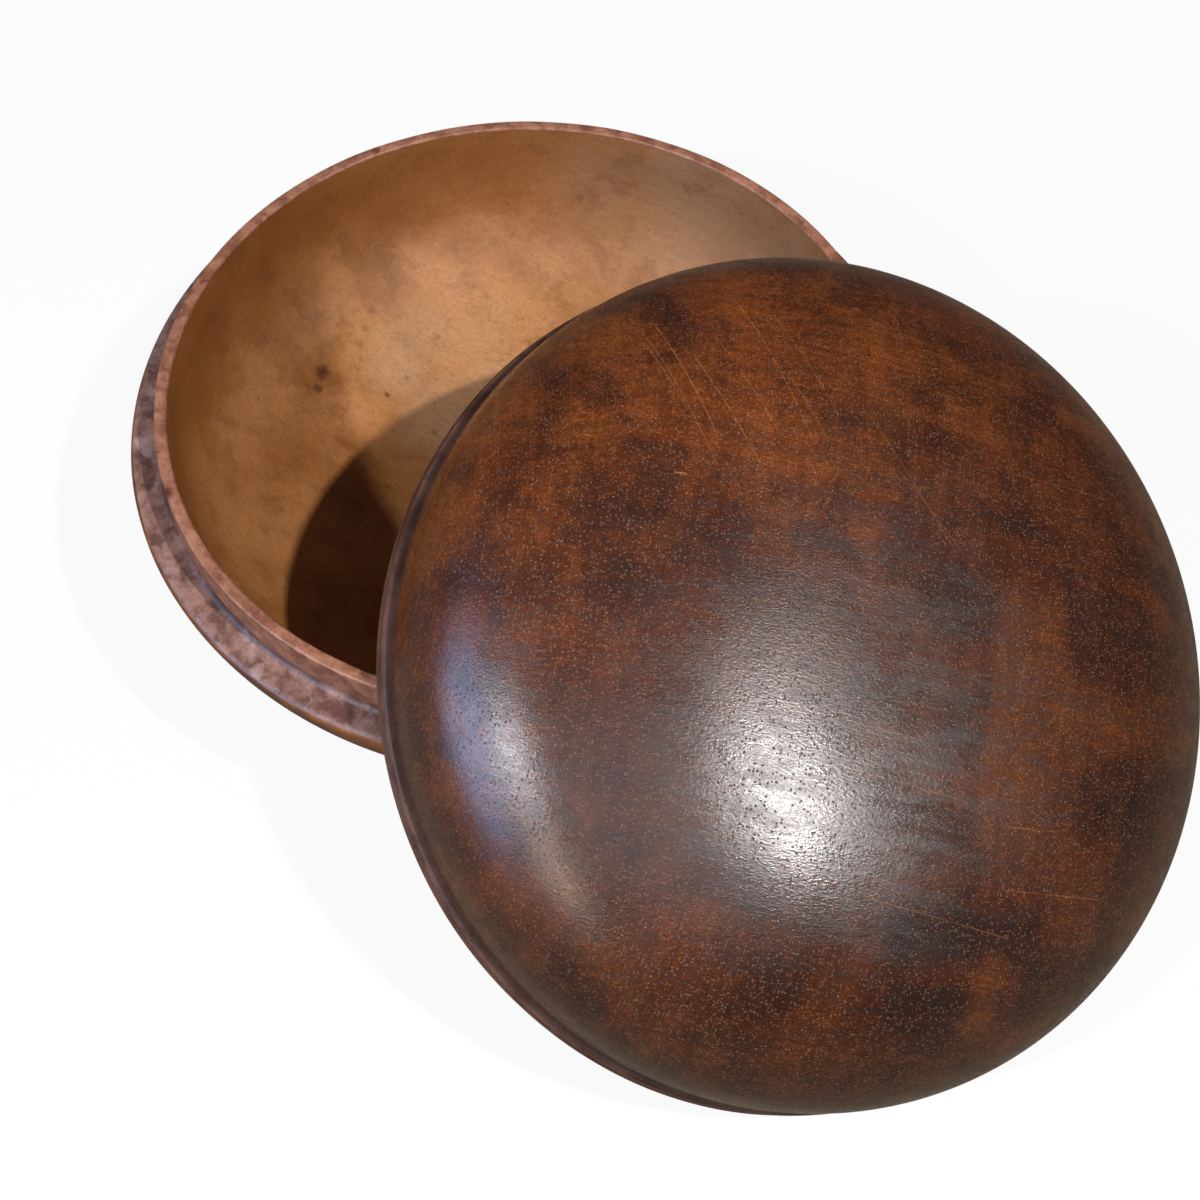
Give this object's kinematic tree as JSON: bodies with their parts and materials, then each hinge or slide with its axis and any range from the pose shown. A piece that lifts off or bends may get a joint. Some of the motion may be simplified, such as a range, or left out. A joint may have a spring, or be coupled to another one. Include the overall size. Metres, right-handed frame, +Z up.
{
  "type": "lidded wooden bowl",
  "caption": "Squat turned wooden bowl with a thin spigot rim, and a domed lid with a beaded edge, taken off and leaning on the bowl's rim.",
  "frame": {"origin": "centre of the bowl's flat foot, on the surface it stands on", "axes": "+Z up along the bowl's axis, +X from the bowl towards the leaning lid; the part is symmetric about the XZ plane"},
  "size_m": [0.219, 0.1506, 0.0922],
  "materials": {
    "bowl_wood": "satin oiled hardwood, tan inside and orange-brown outside",
    "lid_wood": "satin varnished dark red-brown hardwood with open pores"
  },
  "bodies": {
    "bowl": {"bowl": "bowl_wood"},
    "lid": {"lid": "lid_wood"}
  },
  "joints": [
    {"name": "lid_lift", "type": "slide", "parent": "bowl", "child": "lid", "axis": [0, 0, 1], "range_m": [0, 0.06]}
  ]
}
